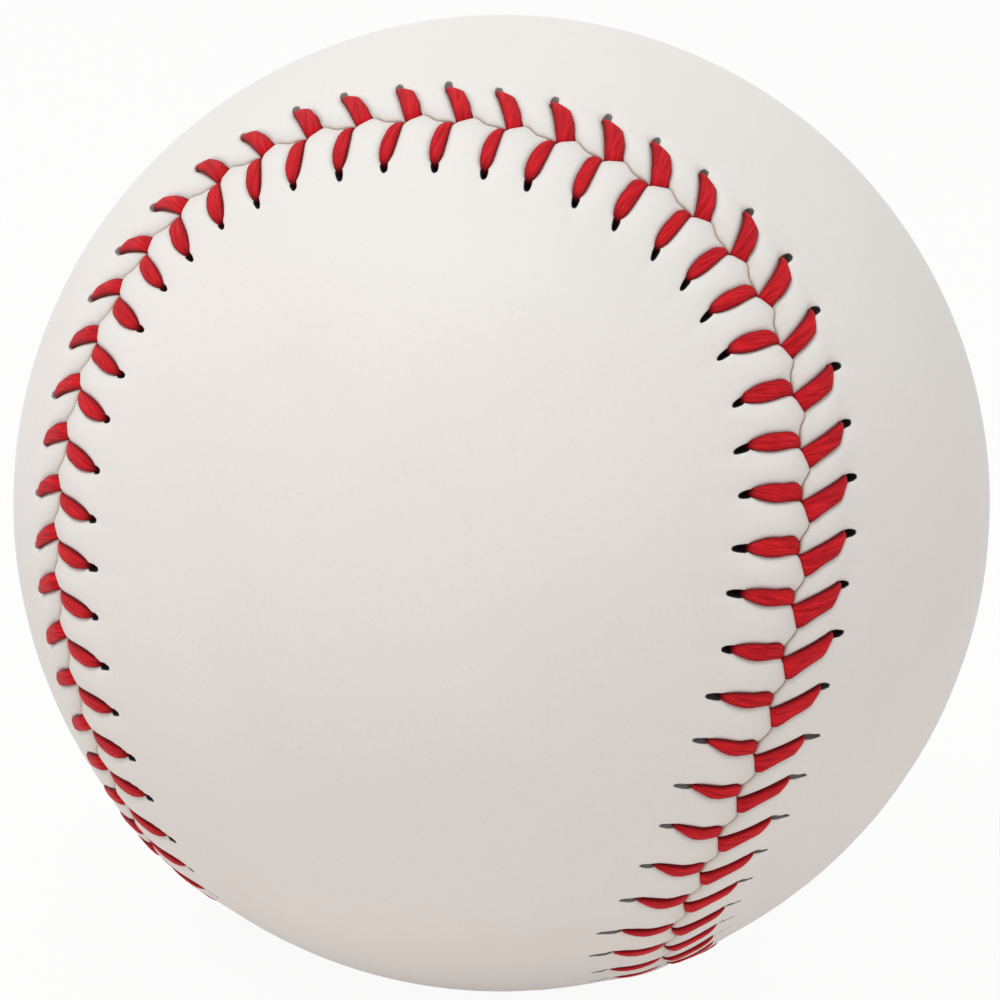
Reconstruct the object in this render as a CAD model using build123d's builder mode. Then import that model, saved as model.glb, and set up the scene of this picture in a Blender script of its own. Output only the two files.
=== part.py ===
from build123d import *

import math
import os
from bisect import bisect_left
from itertools import accumulate

# Baseball: a cork and rubber pill, four windings of yarn, and a two-panel leather cover laced with red thread.
# The origin is the ball's centre. Z is the seam's four-fold axis: the front panel's neck is at the bottom
# and its two lobes face -Y and +Y, and the side panel's neck is at the top with its lobes at -X and +X.

# Ball
ball_diameter = 73.8  # across the leather, between the seams
layer_clearance = 0.05  # from each layer to the next

# Pill
cork_diameter = 20.6
black_rubber_thickness = 4.0
red_rubber_thickness = 2.35
gasket_thickness = 1.2

# Windings
white_wool_thickness = 1.75
outer_grey_wool_thickness = 2.2
finishing_yarn_thickness = 0.55

# Cover
cover_thickness = 1.3
neck_width = 38.3  # across the waist of a panel

# Lacing
stitch_count = 108
thread_diameter = 0.9
thread_clearance = 0.06  # round the thread, in its holes, in the seam and in its bed
thread_bend_inside_radius = 0.15
hole_inset = 4.8  # from the seam to the awl holes
front_stitch_lean = 0.0  # how far a front hole lies behind its stitch's end in the seam
side_stitch_lean = 2.15
stitch_end_gap = 0.4  # along the seam, between the two threads that end a stitch
thread_tail = 2.5

# Shape of the seam: the harmonics of its swing to the poles and of its way round them
swing_harmonic_share = 0.038
waist_harmonic_share = 0.410
lobe_harmonic_share = 0.052
seam_steps = 7200
seam_spline_points = 72

ball_radius = ball_diameter / 2
cork_radius = cork_diameter / 2
black_rubber_inner_radius = cork_radius + layer_clearance
black_rubber_radius = black_rubber_inner_radius + black_rubber_thickness
red_rubber_inner_radius = black_rubber_radius + layer_clearance
red_rubber_radius = red_rubber_inner_radius + red_rubber_thickness
cover_inner_radius = ball_radius - cover_thickness
finishing_yarn_radius = cover_inner_radius - layer_clearance
finishing_yarn_inner_radius = finishing_yarn_radius - finishing_yarn_thickness
outer_grey_wool_radius = finishing_yarn_inner_radius - layer_clearance
outer_grey_wool_inner_radius = outer_grey_wool_radius - outer_grey_wool_thickness
white_wool_radius = outer_grey_wool_inner_radius - layer_clearance
white_wool_inner_radius = white_wool_radius - white_wool_thickness
inner_grey_wool_radius = white_wool_inner_radius - layer_clearance
inner_grey_wool_inner_radius = red_rubber_radius + layer_clearance

os.makedirs("parts", exist_ok=True)


# The seam, a closed curve on a sphere round the ball's centre

neck_angle = neck_width / 2 / ball_radius
swing_angle = math.pi / 2 - neck_angle - swing_harmonic_share


def seam_direction(turn):
    """Unit vector from the ball's centre to the seam, which closes after a turn of 4 pi."""
    rise = swing_angle * math.cos(turn) + swing_harmonic_share * math.cos(3 * turn)
    way_round = (
        (turn - math.pi) / 2
        + waist_harmonic_share * math.sin(2 * turn)
        + lobe_harmonic_share * math.sin(4 * turn)
    )
    return Vector(
        math.cos(rise) * math.cos(way_round),
        math.cos(rise) * math.sin(way_round),
        math.sin(rise),
    )


seam_turns = [4 * math.pi * step / seam_steps for step in range(seam_steps + 1)]
seam_points = [seam_direction(turn) * ball_radius for turn in seam_turns]
seam_strides = [(after - before).length for before, after in zip(seam_points, seam_points[1:])]
seam_runs = [0, *accumulate(seam_strides)]
seam_length = seam_runs[-1]


def turn_at(run):
    """Turn of the seam curve at a length along the seam."""
    run = run % seam_length
    after = max(bisect_left(seam_runs, run), 1)
    share = (run - seam_runs[after - 1]) / seam_strides[after - 1]
    return seam_turns[after - 1] + share * seam_turns[1]


def seam_plane(run, across, radius):
    """Plane that faces outwards, X along the seam, at a length along the seam and a distance to its side."""
    turn = turn_at(run)
    on_seam = seam_direction(turn)
    along = (seam_direction(turn + seam_turns[1]) - seam_direction(turn - seam_turns[1])).normalized()
    aside = across / ball_radius
    outwards = on_seam * math.cos(aside) + on_seam.cross(along) * math.sin(aside)
    return Plane(origin=outwards * radius, x_dir=along, z_dir=outwards)


def seam_wire(across, radius):
    """Closed curve beside the seam, at a radius from the ball's centre."""
    stride = seam_length / seam_spline_points
    points = [seam_plane(stride * step, across, radius).origin for step in range(seam_spline_points)]
    return Wire([Edge.make_spline(points, periodic=True)])


def seam_cut(across):
    """Cutting face square to the ball that follows the seam at a distance to its side."""
    return Shell.make_loft([seam_wire(across, cork_radius), seam_wire(across, ball_diameter)], ruled=True)


# Where the thread runs

stitch_pitch = seam_length / stitch_count
thread_radius = thread_diameter / 2
thread_room_radius = thread_radius + thread_clearance
half_seam_gap = thread_room_radius
thread_bend_radius = thread_radius + thread_bend_inside_radius
half_apart = (thread_diameter + stitch_end_gap) / 2
longest_stitch = math.hypot(hole_inset, stitch_pitch)
stitch_sag_share = 1 / math.cos(longest_stitch / ball_diameter)
over_radius = (ball_radius + thread_room_radius) * stitch_sag_share
under_radius = cover_inner_radius - thread_room_radius
thread_bed_radius = under_radius / stitch_sag_share - thread_room_radius
thread_bed_depth = finishing_yarn_radius - thread_bed_radius
thread_bed_half_width = hole_inset + thread_room_radius


def stitch_end(stitch, on_front):
    """Where a stitch goes down between the panels: along the seam, which starts midway between two stitches."""
    middle = stitch_pitch * (stitch + 1 / 2)
    return middle - half_apart if on_front else middle + half_apart


def stitch_hole(stitch, on_front):
    """Where a stitch comes up through its panel: along the seam and across it."""
    end_run = stitch_end(stitch, on_front)
    if on_front:
        return end_run - front_stitch_lean, -hole_inset
    return end_run - side_stitch_lean, hole_inset


def needle_points(starts_on_front):
    """Corners of one needle's way round the ball, up through a hole and down the seam on each stitch."""
    points = []
    for stitch in range(stitch_count):
        on_front = (stitch % 2 == 0) == starts_on_front
        hole_run, across = stitch_hole(stitch, on_front)
        end_run = stitch_end(stitch, on_front)
        points.append(seam_plane(hole_run, across, under_radius).origin)
        points.append(seam_plane(hole_run, across, over_radius).origin)
        points.append(seam_plane(end_run, 0, over_radius).origin)
        points.append(seam_plane(end_run, 0, under_radius).origin)
    tail_across = thread_tail if on_front else -thread_tail
    points.append(seam_plane(end_run, tail_across, under_radius).origin)
    return points


def rounded_route(points, radius):
    """Straight runs between points, joined by tangent arcs of one radius."""
    edges = []
    start = points[0]
    for before, corner, after in zip(points, points[1:], points[2:]):
        back = (before - corner).normalized()
        onward = (after - corner).normalized()
        half_angle = math.radians(back.get_angle(onward)) / 2
        reach = radius / math.tan(half_angle)
        bulge = radius / math.sin(half_angle) - radius
        arc_start = corner + back * reach
        arc_middle = corner + (back + onward).normalized() * bulge
        arc_end = corner + onward * reach
        edges.append(Edge.make_line(start, arc_start))
        edges.append(Edge.make_three_point_arc(arc_start, arc_middle, arc_end))
        start = arc_end
    edges.append(Edge.make_line(start, points[-1]))
    return edges


# Cork core: the ball of cork and rubber composition at the centre

with BuildPart() as cork_core:
    Sphere(cork_radius)
cork_core.part.label = "cork_core"
export_step(cork_core.part, "parts/cork_core.step")


# Black rubber cups: two half shells round the cork, with the gasket between their rims

with BuildPart() as black_rubber_cup_upper:
    Sphere(black_rubber_radius)
    Sphere(black_rubber_inner_radius, mode=Mode.SUBTRACT)
    split(bisect_by=Plane.XY.offset(gasket_thickness / 2), keep=Keep.TOP)
black_rubber_cup_upper.part.label = "black_rubber_cup_upper"
export_step(black_rubber_cup_upper.part, "parts/black_rubber_cup_upper.step")

with BuildPart() as black_rubber_cup_lower:
    mirror(black_rubber_cup_upper.part, about=Plane.XY)
black_rubber_cup_lower.part.label = "black_rubber_cup_lower"
export_step(black_rubber_cup_lower.part, "parts/black_rubber_cup_lower.step")


# Red rubber gasket: flat ring that seals the joint of the cups

with BuildPart() as red_rubber_gasket:
    Sphere(black_rubber_radius)
    Sphere(black_rubber_inner_radius, mode=Mode.SUBTRACT)
    split(bisect_by=Plane.XY.offset(gasket_thickness / 2), keep=Keep.BOTTOM)
    split(bisect_by=Plane.XY.offset(-gasket_thickness / 2), keep=Keep.TOP)
red_rubber_gasket.part.label = "red_rubber_gasket"
export_step(red_rubber_gasket.part, "parts/red_rubber_gasket.step")


# Red rubber jacket: moulded over the cups, which completes the pill

with BuildPart() as red_rubber_jacket:
    Sphere(red_rubber_radius)
    Sphere(red_rubber_inner_radius, mode=Mode.SUBTRACT)
red_rubber_jacket.part.label = "red_rubber_jacket"
export_step(red_rubber_jacket.part, "parts/red_rubber_jacket.step")


# Inner grey wool: the first and by far the thickest winding

with BuildPart() as winding_grey_wool_inner:
    Sphere(inner_grey_wool_radius)
    Sphere(inner_grey_wool_inner_radius, mode=Mode.SUBTRACT)
winding_grey_wool_inner.part.label = "winding_grey_wool_inner"
export_step(winding_grey_wool_inner.part, "parts/winding_grey_wool_inner.step")


# White wool: the second winding

with BuildPart() as winding_white_wool:
    Sphere(white_wool_radius)
    Sphere(white_wool_inner_radius, mode=Mode.SUBTRACT)
winding_white_wool.part.label = "winding_white_wool"
export_step(winding_white_wool.part, "parts/winding_white_wool.step")


# Outer grey wool and finishing yarn: the thread's under-runs press a shallow bed into both, along the seam


def thread_bed(radius, half_width):
    """Ring of the thread's bed in a winding of the given radius."""
    with BuildPart() as bed:
        Sphere(radius + thread_bed_depth)
        Sphere(radius - thread_bed_depth, mode=Mode.SUBTRACT)
        split(bisect_by=seam_cut(half_width), keep=Keep.TOP)
        split(bisect_by=seam_cut(-half_width), keep=Keep.BOTTOM)
    return bed.part


yarn_bed_half_width = thread_bed_half_width + finishing_yarn_thickness
wool_bed_half_width = yarn_bed_half_width + layer_clearance

with BuildPart() as winding_grey_wool_outer:
    Sphere(outer_grey_wool_radius)
    add(thread_bed(outer_grey_wool_radius, wool_bed_half_width), mode=Mode.SUBTRACT)
    Sphere(outer_grey_wool_inner_radius, mode=Mode.SUBTRACT)
winding_grey_wool_outer.part.label = "winding_grey_wool_outer"
export_step(winding_grey_wool_outer.part, "parts/winding_grey_wool_outer.step")

with BuildPart() as yarn_inside:
    Sphere(finishing_yarn_inner_radius)
    add(thread_bed(finishing_yarn_inner_radius, yarn_bed_half_width), mode=Mode.SUBTRACT)

with BuildPart() as winding_finishing_yarn:
    Sphere(finishing_yarn_radius)
    add(thread_bed(finishing_yarn_radius, thread_bed_half_width), mode=Mode.SUBTRACT)
    add(yarn_inside.part, mode=Mode.SUBTRACT)
winding_finishing_yarn.part.label = "winding_finishing_yarn"
export_step(winding_finishing_yarn.part, "parts/winding_finishing_yarn.step")


# Cover panels: two figure-eight pieces of leather with an awl hole for each stitch. Their edges leave room
# for the thread to go down between them. Each sphere's own poles lie under the other panel.

stitches = range(stitch_count)
hole_depth = over_radius - under_radius

with BuildPart() as cover_panel_front:
    Sphere(ball_radius, rotation=(0, -90, 0))
    Sphere(cover_inner_radius, rotation=(0, -90, 0), mode=Mode.SUBTRACT)
    split(bisect_by=seam_cut(-half_seam_gap), keep=Keep.TOP)
    with BuildSketch(*[seam_plane(*stitch_hole(stitch, True), under_radius) for stitch in stitches]):
        Circle(thread_room_radius)
    extrude(amount=hole_depth, mode=Mode.SUBTRACT)
cover_panel_front.part.label = "cover_panel_front"
export_step(cover_panel_front.part, "parts/cover_panel_front.step")

with BuildPart() as cover_panel_side:
    Sphere(ball_radius, rotation=(-90, 0, -90))
    Sphere(cover_inner_radius, rotation=(-90, 0, -90), mode=Mode.SUBTRACT)
    split(bisect_by=seam_cut(half_seam_gap), keep=Keep.BOTTOM)
    with BuildSketch(*[seam_plane(*stitch_hole(stitch, False), under_radius) for stitch in stitches]):
        Circle(thread_room_radius)
    extrude(amount=hole_depth, mode=Mode.SUBTRACT)
cover_panel_side.part.label = "cover_panel_side"
export_step(cover_panel_side.part, "parts/cover_panel_side.step")


# Lacing thread: one length with a needle at each end. From its middle, under the seam's start, the two
# needles cross at every stitch, over one panel and under the other, and end in tucked tails.

thread_middle = seam_plane(0, 0, under_radius).origin
lacing_points = [*reversed(needle_points(False)), thread_middle, *needle_points(True)]

with BuildPart() as lacing_thread:
    with BuildLine() as lacing_route:
        add(rounded_route(lacing_points, thread_bend_radius))
    with BuildSketch(Plane(origin=lacing_route.line @ 0, z_dir=lacing_route.line % 0)):
        Circle(thread_radius)
    sweep()
lacing_thread.part.label = "lacing_thread"
export_step(lacing_thread.part, "parts/lacing_thread.step")
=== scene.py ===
import math
import random
from bisect import bisect_left
from itertools import accumulate

import bmesh
import bpy
from mathutils import Matrix, Vector


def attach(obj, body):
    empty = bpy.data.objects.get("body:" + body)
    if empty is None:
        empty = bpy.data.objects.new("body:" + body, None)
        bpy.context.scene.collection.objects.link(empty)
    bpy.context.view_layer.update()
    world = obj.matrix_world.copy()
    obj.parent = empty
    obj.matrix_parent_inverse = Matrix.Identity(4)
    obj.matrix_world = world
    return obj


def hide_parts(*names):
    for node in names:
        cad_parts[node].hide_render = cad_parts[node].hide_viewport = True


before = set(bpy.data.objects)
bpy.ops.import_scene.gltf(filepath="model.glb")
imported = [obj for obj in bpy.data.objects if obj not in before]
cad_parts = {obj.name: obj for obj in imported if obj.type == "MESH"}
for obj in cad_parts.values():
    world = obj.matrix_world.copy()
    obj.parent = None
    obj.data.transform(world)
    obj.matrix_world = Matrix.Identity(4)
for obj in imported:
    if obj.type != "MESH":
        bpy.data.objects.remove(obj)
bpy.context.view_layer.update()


# Cork core: ground cork bound with a little rubber and pressed in a round mould.
# It is the nucleus of the ball, and its grains show as tan, brown and black flecks.


def paint(red, green, blue):
    """Colour as a node takes it, from the 0 to 255 values of a colour chip."""
    shares = [value / 255 for value in (red, green, blue)]
    return (*[s / 12.92 if s <= 0.04045 else ((s + 0.055) / 1.055) ** 2.4 for s in shares], 1.0)


def new_finish(name):
    """Material, its node tree and its Principled BSDF."""
    material = bpy.data.materials.new(name)
    material.use_nodes = True
    return material, material.node_tree, material.node_tree.nodes["Principled BSDF"]


def put(tree, kind, inputs, **options):
    """Adds a node with its options, and sets or links its inputs."""
    node = tree.nodes.new(kind)
    for option, value in options.items():
        setattr(node, option, value)
    for socket, value in inputs.items():
        if isinstance(value, bpy.types.NodeSocket):
            tree.links.new(value, node.inputs[socket])
        else:
            node.inputs[socket].default_value = value
    return node


def blend_paint(tree, share, first, second):
    """Colour that goes from the first to the second as the share goes from 0 to 1."""
    mix = put(tree, "ShaderNodeMix", {}, data_type="RGBA")
    for socket, value in ((mix.inputs[0], share), (mix.inputs[6], first), (mix.inputs[7], second)):
        if isinstance(value, bpy.types.NodeSocket):
            tree.links.new(value, socket)
        else:
            socket.default_value = value
    return mix.outputs[2]


cork_grain_scale = 620.0
cork, tree, shader = new_finish("cork")
place = put(tree, "ShaderNodeTexCoord", {}).outputs["Object"]
grain_lie = {"Vector": place, "Scale": cork_grain_scale}
grains = put(tree, "ShaderNodeTexVoronoi", grain_lie)
rifts = put(tree, "ShaderNodeTexVoronoi", grain_lie, feature="DISTANCE_TO_EDGE")
grain_tone = put(tree, "ShaderNodeSeparateColor", {"Color": grains.outputs["Color"]}).outputs["Red"]
tan = blend_paint(tree, grain_tone, paint(196, 150, 102), paint(134, 92, 56))
rift_share = put(tree, "ShaderNodeMapRange", {"Value": rifts.outputs["Distance"], "From Max": 0.08})
flecked = blend_paint(tree, rift_share.outputs["Result"], paint(58, 40, 28), tan)
tree.links.new(flecked, shader.inputs["Base Color"])
shader.inputs["Roughness"].default_value = 0.85
cork_bump = put(
    tree,
    "ShaderNodeBump",
    {"Strength": 0.6, "Distance": 0.0003, "Height": rift_share.outputs["Result"]},
)
tree.links.new(cork_bump.outputs["Normal"], shader.inputs["Normal"])
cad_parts["cork_core"].data.materials[0] = cork


# Black rubber cups and red rubber gasket: two moulded half shells round the cork, sealed at their rims by
# a thin ring. The red jacket is moulded over them, and the four pieces and the cork make up the pill.

moulded_rubber = bpy.data.node_groups.new("moulded rubber", "ShaderNodeTree")
for in_out, name, kind in (
    ("INPUT", "Rubber", "NodeSocketColor"),
    ("INPUT", "Bloom", "NodeSocketColor"),
    ("INPUT", "Mottle scale", "NodeSocketFloat"),
    ("OUTPUT", "Colour", "NodeSocketColor"),
    ("OUTPUT", "Roughness", "NodeSocketFloat"),
    ("OUTPUT", "Height", "NodeSocketFloat"),
):
    moulded_rubber.interface.new_socket(name, in_out=in_out, socket_type=kind)
asked = moulded_rubber.nodes.new("NodeGroupInput").outputs
given = moulded_rubber.nodes.new("NodeGroupOutput")
place = put(moulded_rubber, "ShaderNodeTexCoord", {}).outputs["Object"]
bloom = put(
    moulded_rubber,
    "ShaderNodeTexNoise",
    {"Vector": place, "Scale": asked["Mottle scale"], "Detail": 6.0, "Roughness": 0.62},
)
bloom_share = put(
    moulded_rubber,
    "ShaderNodeMapRange",
    {"Value": bloom.outputs["Fac"], "From Min": 0.42, "From Max": 0.78, "To Max": 0.5},
)
dusted = blend_paint(moulded_rubber, bloom_share.outputs["Result"], asked["Rubber"], asked["Bloom"])
moulded_rubber.links.new(dusted, given.inputs["Colour"])
dull = put(
    moulded_rubber,
    "ShaderNodeMapRange",
    {"Value": bloom.outputs["Fac"], "To Min": 0.5, "To Max": 0.82},
)
moulded_rubber.links.new(dull.outputs["Result"], given.inputs["Roughness"])
skin = put(moulded_rubber, "ShaderNodeTexNoise", {"Vector": place, "Scale": 2600.0, "Detail": 3.0})
moulded_rubber.links.new(skin.outputs["Fac"], given.inputs["Height"])


def rubber_finish(name, rubber, bloom_colour, mottle_scale):
    """Moulded rubber of one colour with a pale bloom."""
    material, tree, shader = new_finish(name)
    mould = put(tree, "ShaderNodeGroup", {}, node_tree=moulded_rubber)
    mould.inputs["Rubber"].default_value = rubber
    mould.inputs["Bloom"].default_value = bloom_colour
    mould.inputs["Mottle scale"].default_value = mottle_scale
    tree.links.new(mould.outputs["Colour"], shader.inputs["Base Color"])
    tree.links.new(mould.outputs["Roughness"], shader.inputs["Roughness"])
    bump = put(
        tree,
        "ShaderNodeBump",
        {"Strength": 0.35, "Distance": 0.0001, "Height": mould.outputs["Height"]},
    )
    tree.links.new(bump.outputs["Normal"], shader.inputs["Normal"])
    return material


black_rubber = rubber_finish("black_rubber", paint(26, 26, 27), paint(74, 72, 70), 190.0)
red_rubber = rubber_finish("red_rubber", paint(150, 42, 34), paint(188, 96, 82), 150.0)
for cup in ("black_rubber_cup_upper", "black_rubber_cup_lower"):
    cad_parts[cup].data.materials[0] = black_rubber
for ring in ("red_rubber_gasket", "red_rubber_jacket"):
    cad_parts[ring].data.materials[0] = red_rubber


# Inner grey and white wool windings: yarn wound round the pill under tension in great circles that change
# direction as the ball turns, so that strands of every direction lie across each other.

mm = 0.001
inner_grey_wool_radii = (16.80, 30.90)
white_wool_radii = (30.95, 32.70)
shell_subdivisions = 5

wound_yarn = bpy.data.node_groups.new("wound yarn", "ShaderNodeTree")
for in_out, name, kind in (
    ("INPUT", "Yarn", "NodeSocketColor"),
    ("INPUT", "Strand shade", "NodeSocketColor"),
    ("INPUT", "Strands", "NodeSocketFloat"),
    ("OUTPUT", "Colour", "NodeSocketColor"),
    ("OUTPUT", "Height", "NodeSocketFloat"),
):
    wound_yarn.interface.new_socket(name, in_out=in_out, socket_type=kind)
asked = wound_yarn.nodes.new("NodeGroupInput").outputs
given = wound_yarn.nodes.new("NodeGroupOutput")
place = put(wound_yarn, "ShaderNodeTexCoord", {}).outputs["Object"]
way_out = put(wound_yarn, "ShaderNodeVectorMath", {0: place}, operation="NORMALIZE").outputs["Vector"]
winding_axes = (
    (0.90, 0.30, 0.31), (-0.28, 0.93, 0.24), (0.22, -0.35, 0.91), (0.60, 0.62, -0.51),
    (-0.63, 0.45, 0.63), (0.55, -0.62, 0.56), (0.10, 0.72, 0.69),
)
layer_lift = 9.0
fuzz_share = 0.5


def reckon(tree, operation, *values):
    """Output of a Math node."""
    return put(tree, "ShaderNodeMath", dict(enumerate(values)), operation=operation).outputs["Value"]


top_strand = 0.0
for number, axis in enumerate(winding_axes):
    level = put(wound_yarn, "ShaderNodeVectorMath", {0: way_out, 1: axis}, operation="DOT_PRODUCT")
    turn = reckon(wound_yarn, "MULTIPLY", level.outputs["Value"], asked["Strands"])
    strand = reckon(wound_yarn, "PINGPONG", turn, 1.0)
    lie = put(
        wound_yarn,
        "ShaderNodeTexNoise",
        {"Vector": way_out, "W": 7.3 * number, "Scale": 2.6, "Detail": 1.0},
        noise_dimensions="4D",
    )
    height = reckon(wound_yarn, "MULTIPLY_ADD", lie.outputs["Fac"], layer_lift, strand)
    top_strand = reckon(wound_yarn, "MAXIMUM", height, top_strand)
rounded = reckon(wound_yarn, "PINGPONG", top_strand, 1.0)
fuzz = put(
    wound_yarn,
    "ShaderNodeTexNoise",
    {"Vector": place, "Scale": 2400.0, "Detail": 4.0, "Roughness": 0.7},
)
strand_height = reckon(wound_yarn, "MULTIPLY_ADD", fuzz.outputs["Fac"], fuzz_share, rounded)
wound_yarn.links.new(strand_height, given.inputs["Height"])
# Painted shade: the yarn darkens to the strand shade colour where its strands and their fuzz lie low, between
# the strands.
shaded = put(wound_yarn, "ShaderNodeMapRange", {"Value": strand_height, "From Max": 1.1})
wound_yarn.links.new(
    blend_paint(wound_yarn, shaded.outputs["Result"], asked["Strand shade"], asked["Yarn"]), given.inputs["Colour"]
)


def yarn_finish(name, yarn, strand_shade, strands):
    """Wound yarn of one colour with a painted shade where its strands lie low, matt and a little fuzzy."""
    material, tree, shader = new_finish(name)
    winding = put(tree, "ShaderNodeGroup", {}, node_tree=wound_yarn)
    winding.inputs["Yarn"].default_value = yarn
    winding.inputs["Strand shade"].default_value = strand_shade
    winding.inputs["Strands"].default_value = strands
    tree.links.new(winding.outputs["Colour"], shader.inputs["Base Color"])
    shader.inputs["Roughness"].default_value = 0.92
    shader.inputs["Sheen Weight"].default_value = 0.25
    bump = put(
        tree,
        "ShaderNodeBump",
        {"Strength": 0.8, "Distance": 0.0004, "Height": winding.outputs["Height"]},
    )
    tree.links.new(bump.outputs["Normal"], shader.inputs["Normal"])
    return material


def finished_piece(name, mesh_work, material):
    """Makes a bmesh a smooth object that stands for the node of its name and rides on the ball."""
    for face in mesh_work.faces:
        face.smooth = True
    mesh = bpy.data.meshes.new(name)
    mesh_work.to_mesh(mesh)
    mesh_work.free()
    mesh.materials.append(material)
    piece = bpy.data.objects.new(name + "_dressed", mesh)
    bpy.context.scene.collection.objects.link(piece)
    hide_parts(name)
    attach(piece, "root")


def wound_shell(name, radii, material, press=None):
    """Thick shell of yarn between two radii. The press gives a spot's depth from its direction and radius."""
    shell = bmesh.new()
    bmesh.ops.create_icosphere(shell, subdivisions=shell_subdivisions, radius=radii[0] * mm)
    bmesh.ops.reverse_faces(shell, faces=shell.faces[:])
    bmesh.ops.create_icosphere(shell, subdivisions=shell_subdivisions, radius=radii[1] * mm)
    if press:
        for vert in shell.verts:
            vert.co *= 1 - press(vert.co.normalized(), vert.co.length / mm) * mm / vert.co.length
    finished_piece(name, shell, material)


grey_wool = yarn_finish("grey_wool", paint(150, 149, 152), paint(70, 69, 73), 34.0)
white_wool = yarn_finish("white_wool", paint(236, 229, 214), paint(168, 158, 140), 42.0)
wound_shell("winding_grey_wool_inner", inner_grey_wool_radii, grey_wool)
wound_shell("winding_white_wool", white_wool_radii, white_wool)


# Outer grey wool and finishing yarn: the last two windings, the outermost of fine polyester and cotton yarn
# that gets a coat of glue. The sewn thread presses a shallow bed into both along the seam.

ball_radius = 36.9
neck_width = 38.3
swing_harmonic_share = 0.038
waist_harmonic_share = 0.410
lobe_harmonic_share = 0.052
seam_steps = 7200
steps_per_mark = 15
outer_grey_wool_radii = (32.75, 34.95)
finishing_yarn_radii = (35.00, 35.55)
thread_bed_depth = 1.05
thread_bed_half_width = 5.3
thread_bed_shoulder = 0.8
swing_angle = math.pi / 2 - neck_width / 2 / ball_radius - swing_harmonic_share


def seam_direction(turn):
    """Unit vector from the ball's centre to the seam, which closes after a turn of 4 pi."""
    rise = swing_angle * math.cos(turn) + swing_harmonic_share * math.cos(3 * turn)
    way_round = (
        (turn - math.pi) / 2
        + waist_harmonic_share * math.sin(2 * turn)
        + lobe_harmonic_share * math.sin(4 * turn)
    )
    level = math.cos(rise)
    return Vector((level * math.cos(way_round), level * math.sin(way_round), math.sin(rise)))


seam_turns = [4 * math.pi * step / seam_steps for step in range(seam_steps + 1)]
seam_line = [seam_direction(turn) for turn in seam_turns]
seam_strides = [(after - before).length * ball_radius for before, after in zip(seam_line, seam_line[1:])]
seam_runs = [0, *accumulate(seam_strides)]
seam_length = seam_runs[-1]


def seam_frame(run):
    """On the seam at a length along it: the way out, the way along, and the way across to the side panel."""
    run = run % seam_length
    after = max(bisect_left(seam_runs, run), 1)
    share = (run - seam_runs[after - 1]) / seam_strides[after - 1]
    out = seam_line[after - 1].lerp(seam_line[after], share).normalized()
    along = (seam_line[after] - seam_line[after - 1]).normalized()
    along = (along - out * along.dot(out)).normalized()
    return out, along, out.cross(along)


def by_seam(run, across, radius):
    """Point at a length along the seam, a distance across it and a radius, all in mm."""
    out, along, aside = seam_frame(run)
    turn = across / ball_radius
    return (out * math.cos(turn) + aside * math.sin(turn)) * radius * mm


seam_marks = [seam_line[step] for step in range(0, seam_steps, steps_per_mark)]


def thread_bed(way_out, radius):
    """Depth of the bed at a direction, with a soft shoulder. The inside of the wool isn't pressed."""
    if radius < outer_grey_wool_radii[1] - thread_bed_depth:
        return 0.0
    nearest = max(mark.dot(way_out) for mark in seam_marks)
    gap = math.acos(min(nearest, 1.0)) * ball_radius - thread_bed_half_width
    return thread_bed_depth * min(max(0.5 - gap / thread_bed_shoulder, 0.0), 1.0)


finishing_yarn = yarn_finish("finishing_yarn", paint(240, 238, 231), paint(186, 182, 172), 76.0)
wound_shell("winding_grey_wool_outer", outer_grey_wool_radii, grey_wool, thread_bed)
wound_shell("winding_finishing_yarn", finishing_yarn_radii, finishing_yarn, thread_bed)


# Cover panels: two equal figure-eight pieces of alum-tanned white cowhide, stretched over the ball damp.
# Their edges meet in a narrow crease. The stitches press the leather down and leave it puffed between them.

cover_inner_radius = 35.6
stitch_count = 108
stitch_pitch = seam_length / stitch_count

# Columns of vertices to both sides of a leg's middle line, and rows at insets from the seam.
columns_aside = (0.08, 0.20, 0.32, 0.50, 0.72, 0.92, 1.15, 1.40, 1.66)
panel_insets = (
    0.04, 0.10, 0.18, 0.30, 0.48, 0.72, 1.05, 1.50, 2.00, 2.50, 3.00, 3.40, 3.66, 3.84, 4.00,
    4.16, 4.34, 4.54, 4.74, 4.92, 5.10, 5.28, 5.46, 5.66, 5.90, 6.20, 6.70, 7.80, 9.60, 12.0,
)

# Outline of a stitch's two legs from the awl hole to the seam: inset from the seam, backward and forward edge
# beside the leg's own line, height of the thread's top over the ball, and thickness.
front_leg = (
    (4.14, -0.25, 0.25, -1.05, 0.40),
    (4.11, -0.28, 0.28, -0.55, 0.40),
    (4.02, -0.31, 0.31, -0.14, 0.42),
    (3.82, -0.38, 0.37, 0.06, 0.45),
    (3.45, -0.50, 0.47, 0.18, 0.48),
    (2.95, -0.63, 0.56, 0.26, 0.51),
    (2.35, -0.70, 0.60, 0.29, 0.52),
    (1.75, -0.64, 0.60, 0.29, 0.52),
    (1.20, -0.48, 0.58, 0.26, 0.50),
    (0.75, -0.26, 0.58, 0.20, 0.48),
    (0.42, -0.05, 0.60, 0.10, 0.46),
    (0.18, 0.12, 0.63, -0.04, 0.42),
    (0.06, 0.22, 0.66, -0.30, 0.42),
    (0.00, 0.24, 0.66, -0.75, 0.46),
)
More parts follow.
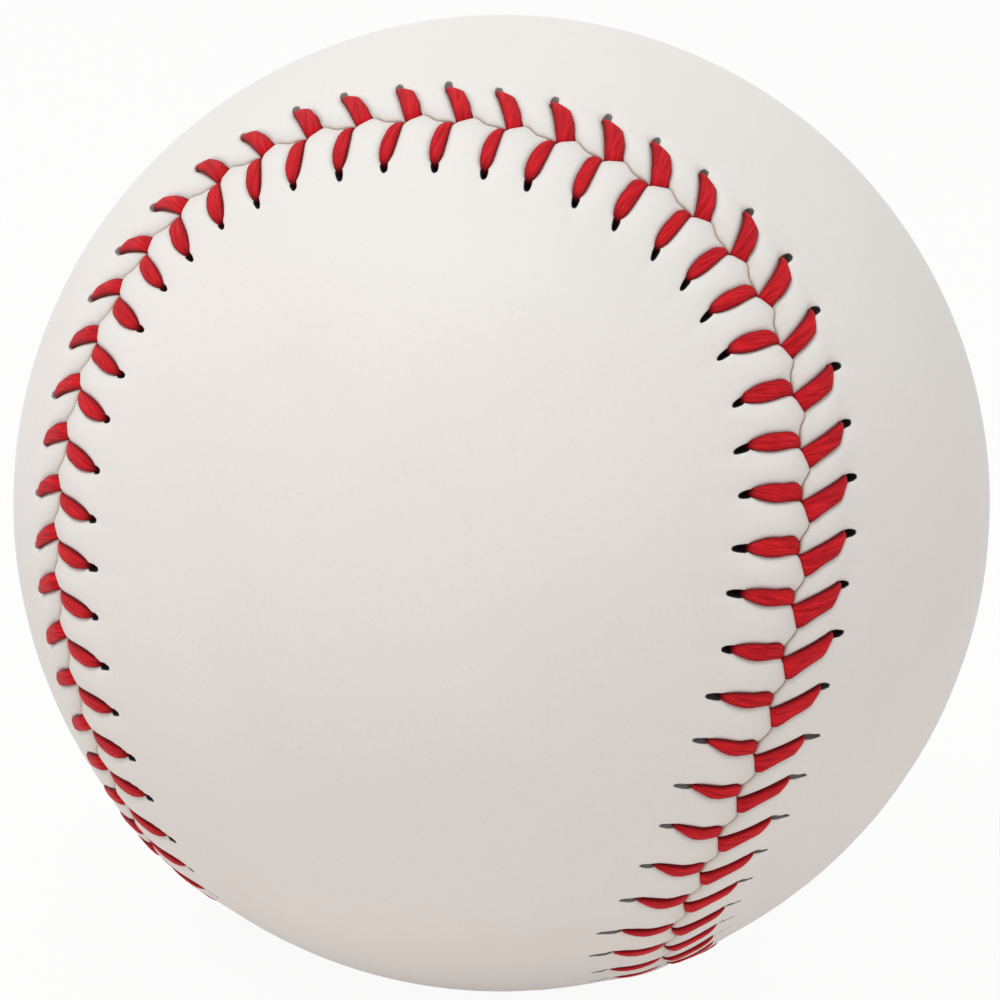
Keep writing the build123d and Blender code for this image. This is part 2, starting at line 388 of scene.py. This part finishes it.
side_leg = (
    (4.04, -0.68, -0.20, -1.05, 0.40),
    (4.01, -0.73, -0.17, -0.55, 0.40),
    (3.93, -0.77, -0.12, -0.12, 0.44),
    (3.78, -0.79, -0.02, 0.10, 0.48),
    (3.62, -0.79, 0.20, 0.18, 0.50),
    (3.46, -0.79, 0.52, 0.22, 0.52),
    (3.26, -0.79, 0.75, 0.26, 0.53),
    (2.70, -0.79, 0.78, 0.32, 0.55),
    (2.00, -0.78, 0.79, 0.34, 0.55),
    (1.40, -0.78, 0.80, 0.35, 0.55),
    (0.85, -0.78, 0.81, 0.34, 0.54),
    (0.42, -0.77, 0.82, 0.30, 0.52),
    (0.16, -0.75, 0.83, 0.17, 0.50),
    (0.03, -0.72, 0.82, -0.10, 0.46),
    (0.00, -0.60, 0.70, -0.60, 0.46),
)

sewing = random.Random(108)
even_hand = {"widen": 1.0, "wander": 0.0, "lean": 0.0, "blunt": 0.0, "lift": 0.0, "long_slit": 1.0}
stitch_quirks = {
    (stitch, on_front): {
        "widen": sewing.uniform(0.92, 1.08),
        "wander": sewing.uniform(-0.09, 0.09),
        "lean": sewing.uniform(-0.22, 0.22),
        "blunt": sewing.uniform(-0.15, 0.15),
        "lift": sewing.uniform(-0.02, 0.03),
        "long_slit": sewing.uniform(0.80, 1.22),
    }
    for stitch in range(stitch_count)
    for on_front in (True, False)
}


def ease(start, end, value):
    """Smooth step from 0 at the start to 1 at the end."""
    share = min(max((value - start) / (end - start), 0.0), 1.0)
    return share * share * (3 - 2 * share)


def bell(middle, spread, value):
    """Bell curve: 1 at the middle, and about a third at the spread from it."""
    return math.exp(-(((value - middle) / spread) ** 2))


# How the sewing changes along the seam, in stitches past a lobe's tip: the side legs stop being loose over
# the first pair, and the thread is drawn tight over the second.
loose_stitches = (6, 11)
drawn_stitches = (13, 16)


def past_tip(stitch):
    """Stitches from the tip of the front panel's nearer lobe, less than 0 on the way up to it."""
    return (stitch + stitch_count // 4) % (stitch_count // 2) - stitch_count // 4


def loose_share(stitch):
    """How loose the thread lies: 1 on the way up to a lobe's tip and round it, and 0 on the way down."""
    return 1 - ease(*loose_stitches, past_tip(stitch))


def drawn_share(stitch):
    """How tight the thread is drawn: 0 along a lobe's flank, and 1 on the way from there to the waist."""
    return ease(*drawn_stitches, past_tip(stitch))


# A stitch's two legs start on the seam at half_apart to both sides of its middle, and lean along the seam.
# The lean is given for hole_inset. It sways as the sewing goes round, and grows no more at lean_end_share of
# that inset, but a side leg's goes on at half the rate for a further share.
half_apart = 0.65
hole_inset = 4.8
lean_waves = 3
lean_wave_start = 2
lean_end_share = 0.9
front_lean = -0.25
front_lean_sway = 0.65
front_lean_power = 1.5
side_lean = -1.90
side_lean_sway = -0.45
half_lean_share = 0.2

# Front legs: bowed past a lobe's tip, blunt at the seam but pointed round the tip, where they are slim too.
front_bow = 0.20
bow_stitches = (2, 18)
bow_middle_and_spread = (2.3, 1.2)
front_blunt = 0.34
flank_blunt = 0.16
flank_blunt_stitches = (5, 10)
tip_point = 0.22
tip_point_middle_and_spread = (-1, 5.5)
blunt_insets = (0.3, 1.9)
tip_slim_share = 0.17
tip_slim_middle_and_spread = (1, 5)
tip_slim_insets = (2.6, 3.6)
front_drawn_slim_share = 0.25
front_drawn_trim = 0.20
front_drawn_insets = (1.8, 3.6)

# Side legs: they taper to the hole, most where they lean least. Where they lie loose their base is trimmed.
side_taper_share = 0.14
side_taper_insets = (0.3, 3.2)
base_trim = 0.40
base_trim_insets = (0.2, 2.2)
side_drawn_slim_share = 0.18


def leg_edges(stitch, on_front, row, inset, hand):
    """A leg's two edges along the seam, from the stitch's middle."""
    tip_way = past_tip(stitch)
    drawn = drawn_share(stitch)
    sway = math.sin(2 * lean_waves * math.pi * (stitch + lean_wave_start) / stitch_count)
    way_out = min(max(inset / hole_inset, 0.0), lean_end_share)
    if on_front:
        slim = 1 - front_drawn_slim_share * drawn
        near_seam = 1 - ease(*tip_slim_insets, inset)
        slim -= tip_slim_share * bell(*tip_slim_middle_and_spread, tip_way) * near_seam
        backward, forward = row[1] * slim, row[2] * slim
        forward -= front_drawn_trim * drawn * ease(*front_drawn_insets, inset)
        line = -half_apart + (front_lean + front_lean_sway * sway + hand["lean"]) * way_out**front_lean_power
        line += front_bow * ease(*bow_stitches, tip_way) * bell(*bow_middle_and_spread, inset)
        blunt = front_blunt + hand["blunt"] + flank_blunt * ease(*flank_blunt_stitches, tip_way)
        blunt -= tip_point * bell(*tip_point_middle_and_spread, tip_way)
        backward -= blunt * (1 - ease(*blunt_insets, inset))
    else:
        slim = 1 - side_drawn_slim_share * drawn
        backward, forward = row[1] * slim, row[2] * slim
        way_out += min(max(inset / hole_inset - lean_end_share, 0.0), half_lean_share) / 2
        line = half_apart + (side_lean + side_lean_sway * sway + hand["lean"]) * way_out
        forward -= (forward - backward) * side_taper_share * (1 - sway) * ease(*side_taper_insets, inset)
        forward -= base_trim * loose_share(stitch) * (1 - ease(*base_trim_insets, inset))
    line += hand["wander"]
    return line + backward * hand["widen"], line + forward * hand["widen"]


def leg_at(stitch, on_front, inset, hand):
    """Middle and half width of a leg along the seam, from the stitch's middle, at an inset from the seam."""
    rows = front_leg if on_front else side_leg
    on_leg = min(max(inset, 0.0), rows[0][0])
    outer, inner = next(pair for pair in zip(rows, rows[1:]) if pair[1][0] <= on_leg)
    share = (on_leg - inner[0]) / (outer[0] - inner[0])
    row = [near + share * (far - near) for near, far in zip(inner, outer)]
    backward, forward = leg_edges(stitch, on_front, row, inset, hand)
    return (backward + forward) / 2, (forward - backward) / 2


# Awl slits of the two panels: inset of the end at the thread, length, and half the width there. They taper
# outwards and lean along the seam, by mm to the mm. Their dark is painted shade; where the thread is drawn
# they are long, thin and a paler grey.
front_slit = (3.94, 1.44, 0.33)
side_slit = (3.84, 1.08, 0.31)
slit_roundness = 2.4
slit_taper_share = 0.25
drawn_thin_share = 0.30
drawn_paler_shade_share = 0.20
slit_end_middles_and_spreads = ((-1, 0.4), (0.8, 0.3))
far_end_share = 0.5

# Front slits: they lean round a lobe's tip, more along its flank.
front_drawn_stretch_share = 0.2
front_slit_lean = 0.18
flank_slit_lean = 0.20
flank_lean_stitches = (1, 5)
front_lean_start_stitches = (-7, -3)
front_lean_end_stitches = (8, 12)

# Side slits: short, with a paler grey painted shade, up to a lobe's tip, and longer and darker along its
# flank.
side_stretch_share = 0.80
side_flank_stretch_share = 0.15
side_flank_stitches = (2, 10)
side_drawn_stretch_share = 0.55
side_slit_lean = 0.10
side_tip_lean = 0.18
side_lean_start_stitches = (-1, 3)
side_lean_end_stitches = (6, 10)
side_paler_shade_share = 0.28
side_paler_shade_stitches = (1, 8)


def slit_place(stitch, on_front, aside, inset):
    """Where a spot lies from the middle of its awl slit, across and along it, with the rim at 1 and -1."""
    near_end, length, half_width = front_slit if on_front else side_slit
    tip_way = past_tip(stitch)
    drawn = drawn_share(stitch)
    if on_front:
        stretch = 1 + front_drawn_stretch_share * drawn
        lean = front_slit_lean + flank_slit_lean * ease(*flank_lean_stitches, tip_way)
        lean *= ease(*front_lean_start_stitches, tip_way) * (1 - ease(*front_lean_end_stitches, tip_way))
    else:
        stretch = side_stretch_share + side_flank_stretch_share * ease(*side_flank_stitches, tip_way)
        stretch += side_drawn_stretch_share * drawn
        lean = side_tip_lean * ease(*side_lean_start_stitches, tip_way)
        lean = side_slit_lean + lean * (1 - ease(*side_lean_end_stitches, tip_way))
    half_length = length / 2 * stretch * stitch_quirks[stitch, on_front]["long_slit"]
    along = (inset - near_end - half_length) / half_length
    half_width *= (1 - drawn_thin_share * drawn) * (1 - slit_taper_share * ease(-1, 1, along))
    return (aside - lean * max(inset - near_end, 0.0)) / half_width, along


def slit_shade(stitch, on_front, along):
    """How dark the painted shade in an awl slit is. Where it is drawn thin it is greyer, but for its two
    ends.
    """
    near_end, far_end = [bell(*end, along) for end in slit_end_middles_and_spreads]
    shade = 1 - drawn_paler_shade_share * drawn_share(stitch) * (1 - near_end - far_end_share * far_end)
    return shade if on_front else shade - side_paler_shade_share * (1 - ease(*side_paler_shade_stitches, past_tip(stitch)))


# The front panel's puffed edge pushes the seam over: from a stitch's middle up to the peak at its side leg's
# far corner, and back to nothing before the next stitch.
weave_push = 0.62
weave_lead = 0.1
weave_peak = 1.45
weave_fall = (0.05, 1.25)
weave_inset = 1.6


def seam_weave(run, inset):
    """How far the seam is pushed over towards the side panel. It wears off away from the seam."""
    stitch, past_middle = divmod(run - stitch_pitch / 2 + weave_lead, stitch_pitch)
    past_middle -= weave_lead
    peak = weave_peak - base_trim * loose_share(stitch)
    push = min(max(past_middle / peak, 0.0), 1.0)
    push *= 1 - ease(peak + weave_fall[0], peak + weave_fall[1], past_middle)
    return weave_push * push * bell(0, weave_inset, inset)


# Heights of the leather's forms: the crease at the seam, the welt beside it, the puffs between the stitches,
# the dents under the legs, the slits and the sag round them.
crease_depth = 0.24
crease_reach = 0.20
welt_height = 0.17
welt_middle_and_spread = (1.5, 2.1)
puff_height = 0.12
puff_start = 0.5
puff_middle_and_spread = (2.3, 2.0)
press_depth = 0.34
press_rim = (-0.20, 0.34)
press_end_insets = (4.0, 4.7)
seam_press_share = 0.75
seam_press_insets = (0.2, 1.5)
slit_depth = 0.65
slit_wall = (0.35, 1.0)
sag_depth = 0.10
sag_spread = 2.4
drawn_shallow_share = 0.65


def leather_rise(stitch, on_front, half_width, aside, inset):
    """Height of the leather over the ball's sphere, at a distance from a leg's middle line."""
    under_leg = 1 - ease(half_width + press_rim[0], half_width + press_rim[1], abs(aside))
    under_leg *= 1 - ease(*press_end_insets, inset)
    crease = -crease_depth * math.exp(-inset / crease_reach)
    welt = welt_height * bell(*welt_middle_and_spread, inset)
    puff = puff_height * ease(puff_start, stitch_pitch / 2, abs(aside)) * bell(*puff_middle_and_spread, inset)
    press_share = seam_press_share + (1 - seam_press_share) * ease(*seam_press_insets, inset)
    press = -press_depth * under_leg * press_share
    slit_ways = slit_place(stitch, on_front, aside, inset)
    reach = sum(abs(way) ** slit_roundness for way in slit_ways) ** (1 / slit_roundness)
    slit = -slit_depth * (1 - ease(*slit_wall, reach)) - sag_depth * bell(0, sag_spread, reach)
    slit *= 1 - drawn_shallow_share * drawn_share(stitch)
    return crease + welt + puff + press + slit


def cross_ribs(mesh_work, ring, first):
    """Bridges a figure-eight ring from one long side to the other, and gives the ribs between them."""
    half = len(ring) // 2
    turned = ring[first:] + ring[:first]
    sides = [turned[:half], turned[half:]]
    chains = [mesh_work.edges.get(pair) for side in sides for pair in zip(side, side[1:])]
    bmesh.ops.bridge_loops(mesh_work, edges=chains)
    pairs = zip(sides[0][1:-1], reversed(sides[1][1:-1]))
    return [rib for rib in map(mesh_work.edges.get, pairs) if rib]


# A panel's cut edge: insets of its lower and upper corner, the tone of the cut, and a painted shade along the
# crease. The columns beside a leg follow it less the farther off they are, so that they keep clear of the
# next leg's.
lower_edge_inset = 0.06
upper_edge_inset = 0.02
upper_edge_height = -0.42
cut_tone_share = 0.8
cut_tone_reach = 0.10
crease_shade_share = 0.2
crease_shade_spread = 1.1
evening_asides = (0.9, 1.6)
fill_cuts = 12


def cover_panel(name, on_front):
    """One leather panel: its edge ring, the band by the seam row by row, and the fills of both faces."""
    panel = bmesh.new()
    across_slit = panel.verts.layers.float.new("across_slit")
    along_slit = panel.verts.layers.float.new("along_slit")
    shade = panel.verts.layers.float.new("slit_shade")
    edges = panel.verts.layers.float.new("cut_edge_and_crease_shade")
    asides = [-aside for aside in reversed(columns_aside)] + list(columns_aside)
    spots = [(stitch, aside) for stitch in range(stitch_count) for aside in asides]
    towards = -1 if on_front else 1

    def set_row(ring, inset, rise=None):
        """Puts a row's vertices at their inset, in columns that run beside the legs."""
        stitches = range(stitch_count)
        legs = [leg_at(stitch, on_front, inset, stitch_quirks[stitch, on_front]) for stitch in stitches]
        even_middles = [leg_at(stitch, on_front, inset, even_hand)[0] for stitch in stitches]
        # Tone of the cut edge, and a painted shade along the crease beside it.
        edge_tone_and_crease_shade = cut_tone_share * math.exp(-inset / cut_tone_reach)
        edge_tone_and_crease_shade += crease_shade_share * bell(0, crease_shade_spread, inset)
        for vert, (stitch, aside) in zip(ring, spots):
            middle, half_width = legs[stitch]
            middle += (even_middles[stitch] - middle) * ease(*evening_asides, abs(aside))
            run = stitch_pitch * (stitch + 0.5) + middle + aside
            height = leather_rise(stitch, on_front, half_width, aside, inset) if rise is None else rise
            vert.co = by_seam(run, towards * inset + seam_weave(run, inset), ball_radius + height)
            across, along = slit_place(stitch, on_front, aside, inset)
            vert[across_slit], vert[along_slit] = abs(across), abs(along)
            vert[shade] = slit_shade(stitch, on_front, along)
            vert[edges] = edge_tone_and_crease_shade

    ring = bmesh.ops.create_circle(panel, segments=len(spots), radius=1.0)["verts"]
    set_row(ring, lower_edge_inset, cover_inner_radius - ball_radius)
    for vert in ring:
        vert[edges] = 1.0
    under_ring = ring
    first = 0 if on_front else len(spots) // 4
    for inset in (upper_edge_inset, *panel_insets):
        sides = [panel.edges.get((a, b)) for a, b in zip(ring, ring[1:] + ring[:1])]
        grown = bmesh.ops.extrude_edge_only(panel, edges=sides)["geom"]
        new_verts = {part for part in grown if isinstance(part, bmesh.types.BMVert)}
        ring = [
            next(edge.other_vert(vert) for edge in vert.link_edges if edge.other_vert(vert) in new_verts)
            for vert in ring
        ]
        set_row(ring, inset, upper_edge_height if inset == upper_edge_inset else None)
    ribs = cross_ribs(panel, ring, first) + cross_ribs(panel, under_ring, first)
    cut = bmesh.ops.subdivide_edges(panel, edges=ribs, cuts=fill_cuts, use_grid_fill=True)
    for part in cut["geom_inner"]:
        if isinstance(part, bmesh.types.BMVert):
            on_inside = part[edges] > 0.5
            part.co = part.co.normalized() * (cover_inner_radius if on_inside else ball_radius) * mm
    bmesh.ops.recalc_face_normals(panel, faces=panel.faces[:])
    finished_piece(name, panel, leather)


pore_depth = 1.5
leather, tree, shader = new_finish("leather")
place = put(tree, "ShaderNodeTexCoord", {}).outputs["Object"]
cloud = put(tree, "ShaderNodeTexNoise", {"Vector": place, "Scale": 60.0, "Detail": 5.0, "Roughness": 0.55})
hide = blend_paint(tree, cloud.outputs["Fac"], paint(235, 231, 227), paint(243, 240, 236))
pores = put(tree, "ShaderNodeTexVoronoi", {"Vector": place, "Scale": 2100.0, "Randomness": 1.0})
pore_share = put(
    tree,
    "ShaderNodeMapRange",
    {"Value": pores.outputs["Distance"], "From Max": 0.35, "To Min": 0.12, "To Max": 0.0},
)
pored = blend_paint(tree, pore_share.outputs["Result"], hide, paint(205, 196, 184))
# The cut edge's own tone, and a painted shade along the crease beside it.
edge_and_crease_shade_share = put(tree, "ShaderNodeAttribute", {}, attribute_name="cut_edge_and_crease_shade").outputs["Fac"]
cut_and_crease_shaded = blend_paint(tree, edge_and_crease_shade_share, pored, paint(188, 174, 162))
across_way, along_way = [
    put(tree, "ShaderNodeAttribute", {}, attribute_name=name).outputs["Fac"]
    for name in ("across_slit", "along_slit")
]
slit_spread = reckon(
    tree,
    "ADD",
    reckon(tree, "POWER", across_way, slit_roundness),
    reckon(tree, "POWER", along_way, slit_roundness),
)
# Painted shade in the awl slits: near black, greyer where the slit_shade attribute says so.
hole_share = put(
    tree,
    "ShaderNodeMapRange",
    {"Value": slit_spread, "From Min": 0.85, "From Max": 1.45, "To Min": 1.0, "To Max": 0.0},
    interpolation_type="SMOOTHSTEP",
).outputs["Result"]
slit_shade_share = put(tree, "ShaderNodeAttribute", {}, attribute_name="slit_shade").outputs["Fac"]
with_slit_shade = blend_paint(tree, reckon(tree, "MULTIPLY", hole_share, slit_shade_share), cut_and_crease_shaded, paint(6, 4, 4))
tree.links.new(with_slit_shade, shader.inputs["Base Color"])
dull_hole = put(tree, "ShaderNodeMapRange", {"Value": hole_share, "To Min": 0.52, "To Max": 1.0})
tree.links.new(dull_hole.outputs["Result"], shader.inputs["Roughness"])
shader.inputs["Specular IOR Level"].default_value = 0.35
grain = put(tree, "ShaderNodeTexNoise", {"Vector": place, "Scale": 900.0, "Detail": 6.0, "Roughness": 0.65})
grain_height = reckon(tree, "MULTIPLY_ADD", pore_share.outputs["Result"], -pore_depth, grain.outputs["Fac"])
grain_bump = put(tree, "ShaderNodeBump", {"Strength": 0.30, "Distance": 0.00006, "Height": grain_height})
tree.links.new(grain_bump.outputs["Normal"], shader.inputs["Normal"])

cover_panel("cover_panel_front", True)
cover_panel("cover_panel_side", False)


# Lacing thread: one length of waxed red cotton thread with a needle at each end. The two needles cross at
# every stitch: up through a hole in one panel, over to the seam, down between the panels and under the other.

thread_sides = 16
thread_squareness = 0.72
under_height = -1.81
under_sag = 0.05
under_width = 1.0
under_thickness = 0.85
hidden_width = 0.7

# The thread's two ends are tucked in under a panel: insets of the last two rows, and width at the last.
tuck_insets = (1.2, 2.5)
tuck_end_width = 0.5

# The thread gets a painted shade: darker between these heights, where it sinks into the leather, and between
# these distances before a hole.
sunk_shade_heights = (-0.70, -0.05)
front_hole_shade_share = 0.75
side_hole_shade_share = 0.35
hole_shade_distances = (0.44, 0.04)


def needle_way(starts_on_front):
    """One needle's way, in rows of run, distance across, height of the middle, width and thickness."""
    rows = []
    for stitch in range(stitch_count):
        on_front = (stitch % 2 == 0) == starts_on_front
        towards = -1 if on_front else 1
        middle = stitch_pitch * (stitch + 0.5)
        hand = stitch_quirks[stitch, on_front]
        legs = front_leg if on_front else side_leg
        hole_run = middle + leg_at(stitch, on_front, legs[0][0], hand)[0]
        rows.append((hole_run, towards * legs[0][0], under_height, hidden_width, hidden_width))
        for row in legs:
            inset, top, thickness = row[0], row[3], row[4]
            backward, forward = leg_edges(stitch, on_front, row, inset, hand)
            rows.append((
                middle + (backward + forward) / 2,
                towards * inset,
                top + hand["lift"] - thickness / 2,
                forward - backward,
                thickness,
            ))
        end_run = rows[-1][0]
        rows.append((end_run, 0.0, under_height, hidden_width, hidden_width))
        if stitch + 1 < stitch_count:
            next_leg = side_leg if on_front else front_leg
            next_hand = stitch_quirks[stitch + 1, not on_front]
            next_hole = leg_at(stitch + 1, not on_front, next_leg[0][0], next_hand)[0]
            next_hole += stitch_pitch * (stitch + 1.5)
            for share in (0.25, 0.5, 0.75):
                rows.append((
                    end_run + share * (next_hole - end_run),
                    -share * towards * next_leg[0][0],
                    under_height - under_sag,
                    under_width,
                    under_thickness,
                ))
    rows.append((end_run, -towards * tuck_insets[0], under_height - under_sag, under_width, under_thickness))
    rows.append((end_run, -towards * tuck_insets[1], under_height, tuck_end_width, tuck_end_width))
    return rows


def flattened(share):
    """Share of the half width or thickness, for a section pressed from round towards square."""
    return math.copysign(abs(share) ** thread_squareness, share)


lacing_rows = [
    *reversed(needle_way(False)),
    (0.0, 0.0, under_height, under_width, under_thickness),
    *needle_way(True),
]
lacing = bmesh.new()
bmesh.ops.create_grid(lacing, x_segments=thread_sides, y_segments=len(lacing_rows) - 1, size=1.0)
lay = lacing.loops.layers.uv.new("lay")
sunk_shade = lacing.verts.layers.float.new("sunk_shade")
lacing.verts.ensure_lookup_table()
middles = [by_seam(row[0], row[1], ball_radius + row[2]) for row in lacing_rows]
lengths = [0, *accumulate((after - before).length / mm for before, after in zip(middles, middles[1:]))]
grid_verts = sorted(lacing.verts, key=lambda vert: (round(vert.co.y, 6), round(vert.co.x, 6)))
lay_spots = {}
for number, (run, across, height, width, thickness) in enumerate(lacing_rows):
    before, after = middles[max(number - 1, 0)], middles[min(number + 1, len(middles) - 1)]
    along, crosswise = seam_frame(run)[1:]
    upright = along.cross((after - before).normalized()).normalized()
    hole, hole_shade_share = (front_leg[0][0], front_hole_shade_share) if across < 0 else (side_leg[0][0], side_hole_shade_share)
    by_hole = ease(hole - hole_shade_distances[0], hole - hole_shade_distances[1], abs(across))
    sunk_and_hole_shade = max(1 - ease(*sunk_shade_heights, height), hole_shade_share * by_hole)
    for side in range(thread_sides + 1):
        turn = 2 * math.pi * side / thread_sides
        vert = grid_verts[number * (thread_sides + 1) + side]
        lay_spots[vert] = (lengths[number], side / thread_sides)
        vert[sunk_shade] = sunk_and_hole_shade
        aside = flattened(math.cos(turn)) * width / 2
        vert.co = (
            middles[number]
            + along * aside * mm
            + upright * flattened(math.sin(turn)) * thickness / 2 * mm
            + crosswise * seam_weave(run + aside, abs(across)) * mm
        )
for face in lacing.faces:
    for loop in face.loops:
        loop[lay].uv = lay_spots[loop.vert]
merge_gap = 0.0000005
bmesh.ops.remove_doubles(lacing, verts=lacing.verts[:], dist=merge_gap)
bmesh.ops.holes_fill(lacing, edges=[edge for edge in lacing.edges if edge.is_boundary])
bmesh.ops.recalc_face_normals(lacing, faces=lacing.faces[:])

twist_per_mm = 0.22
fibre_stretch = 0.11
red_thread, tree, shader = new_finish("red_thread")
lay_map = put(tree, "ShaderNodeUVMap", {}, uv_map="lay").outputs["UV"]
lay_parts = put(tree, "ShaderNodeSeparateXYZ", {"Vector": lay_map}).outputs
round_turn = reckon(tree, "MULTIPLY", lay_parts["Y"], 2 * math.pi)
crown_lie = reckon(tree, "ABSOLUTE", reckon(tree, "SINE", round_turn))
twist = reckon(tree, "MULTIPLY_ADD", lay_parts["X"], twist_per_mm, round_turn)
fibre_place = put(
    tree,
    "ShaderNodeCombineXYZ",
    {
        "X": reckon(tree, "COSINE", twist),
        "Y": reckon(tree, "SINE", twist),
        "Z": reckon(tree, "MULTIPLY", lay_parts["X"], fibre_stretch),
    },
)
fibres = put(
    tree,
    "ShaderNodeTexNoise",
    {"Vector": fibre_place.outputs["Vector"], "Scale": 4.6, "Detail": 3.0, "Roughness": 0.6},
)
fibre_share = put(
    tree,
    "ShaderNodeMapRange",
    {"Value": fibres.outputs["Fac"], "From Min": 0.34, "From Max": 0.66},
).outputs["Result"]
fibre_tone = blend_paint(tree, fibre_share, paint(172, 10, 24), paint(228, 34, 44))
# Painted shade along the thread's sides: darker red where its section turns to the sides, with the fibre tone
# kept on its crown.
crown_lit_share = put(
    tree,
    "ShaderNodeMapRange",
    {"Value": crown_lie, "From Min": 0.15, "From Max": 0.98},
    interpolation_type="SMOOTHSTEP",
).outputs["Result"]
side_shaded_thread_tone = blend_paint(tree, crown_lit_share, paint(126, 5, 14), fibre_tone)
# Painted shade on the thread where it sinks into the leather and just before a hole.
sunk_shade_share = put(tree, "ShaderNodeAttribute", {}, attribute_name="sunk_shade").outputs["Fac"]
thread_with_sunk_shade = blend_paint(tree, sunk_shade_share, side_shaded_thread_tone, paint(30, 4, 6))
tree.links.new(thread_with_sunk_shade, shader.inputs["Base Color"])
shader.inputs["Roughness"].default_value = 0.56
shader.inputs["Specular IOR Level"].default_value = 0.12
fibre_bump = put(tree, "ShaderNodeBump", {"Strength": 0.45, "Distance": 0.00008, "Height": fibre_share})
tree.links.new(fibre_bump.outputs["Normal"], shader.inputs["Normal"])
finished_piece("lacing_thread", lacing, red_thread)


# Table and light: the ball lies on a plain white table in a soft white studio, with one large
# soft lamp overhead, a little to the left and in front of the ball.

table_half_width = 3.0
table_glow_share = 0.93
studio_light = 0.65
floor_work = bmesh.new()
bmesh.ops.create_grid(floor_work, x_segments=1, y_segments=1, size=table_half_width)
bmesh.ops.translate(floor_work, vec=(0, 0, -ball_radius * mm), verts=floor_work.verts[:])
floor_mesh = bpy.data.meshes.new("table")
floor_work.to_mesh(floor_mesh)
floor_work.free()
table = bpy.data.objects.new("table", floor_mesh)
bpy.context.scene.collection.objects.link(table)


def shown_share(tree):
    """1 for the rays that show a surface itself: straight to the camera, mirrored or through glass."""
    rays = put(tree, "ShaderNodeLightPath", {}).outputs
    shown = rays["Is Camera Ray"]
    for kind in ("Is Glossy Ray", "Is Transmission Ray"):
        shown = reckon(tree, "MAXIMUM", shown, rays[kind])
    return shown


white_table, tree, shader = new_finish("white_table")
shader.inputs["Base Color"].default_value = paint(240, 233, 229)
shader.inputs["Roughness"].default_value = 0.9
glow = put(tree, "ShaderNodeEmission", {"Strength": 1.0})
seen = reckon(tree, "MULTIPLY", shown_share(tree), table_glow_share)
surface = put(
    tree,
    "ShaderNodeMixShader",
    {0: seen, 1: shader.outputs["BSDF"], 2: glow.outputs["Emission"]},
)
tree.links.new(surface.outputs["Shader"], tree.nodes["Material Output"].inputs["Surface"])
table.data.materials.append(white_table)

scene = bpy.context.scene
studio = bpy.data.worlds.new("studio")
studio.use_nodes = True
scene.world = studio
tree = studio.node_tree
level = put(tree, "ShaderNodeMapRange", {"Value": shown_share(tree), "To Min": studio_light, "To Max": 1.0})
tree.links.new(level.outputs["Result"], tree.nodes["Background"].inputs["Strength"])
tree.nodes["Background"].inputs["Color"].default_value = (1.0, 1.0, 1.0, 1.0)

lamp_place = Vector((-0.27, -0.37, 0.90))
lamp = bpy.data.lights.new("key_lamp", "AREA")
lamp.size = 0.6
lamp.energy = 3.72
lamp_holder = bpy.data.objects.new("key_lamp", lamp)
lamp_holder.location = lamp_place
lamp_holder.rotation_euler = lamp_place.to_track_quat("Z", "Y").to_euler()
scene.collection.objects.link(lamp_holder)
scene.view_settings.view_transform = "Standard"


# Camera: a long lens a little above the ball and to its right, tilted a little, and close enough that
# the ball fills the picture.

view_azimuth = math.radians(12.17)
view_elevation = math.radians(16.17)
view_roll = math.radians(5.57)
view_distance = 0.2583
lens = bpy.data.cameras.new("camera")
lens.lens = 121.8
lens.sensor_width = 36.0
lens.shift_x = -0.0016
lens.shift_y = 0.0032
lens.clip_start = 0.01
camera = bpy.data.objects.new("camera", lens)
aim = (
    Matrix.Rotation(view_azimuth, 4, "Z")
    @ Matrix.Rotation(math.pi / 2 - view_elevation, 4, "X")
    @ Matrix.Rotation(view_roll, 4, "Z")
)
camera.matrix_world = aim @ Matrix.Translation((0, 0, view_distance))
scene.collection.objects.link(camera)
scene.camera = camera

bpy.context.view_layer.update()
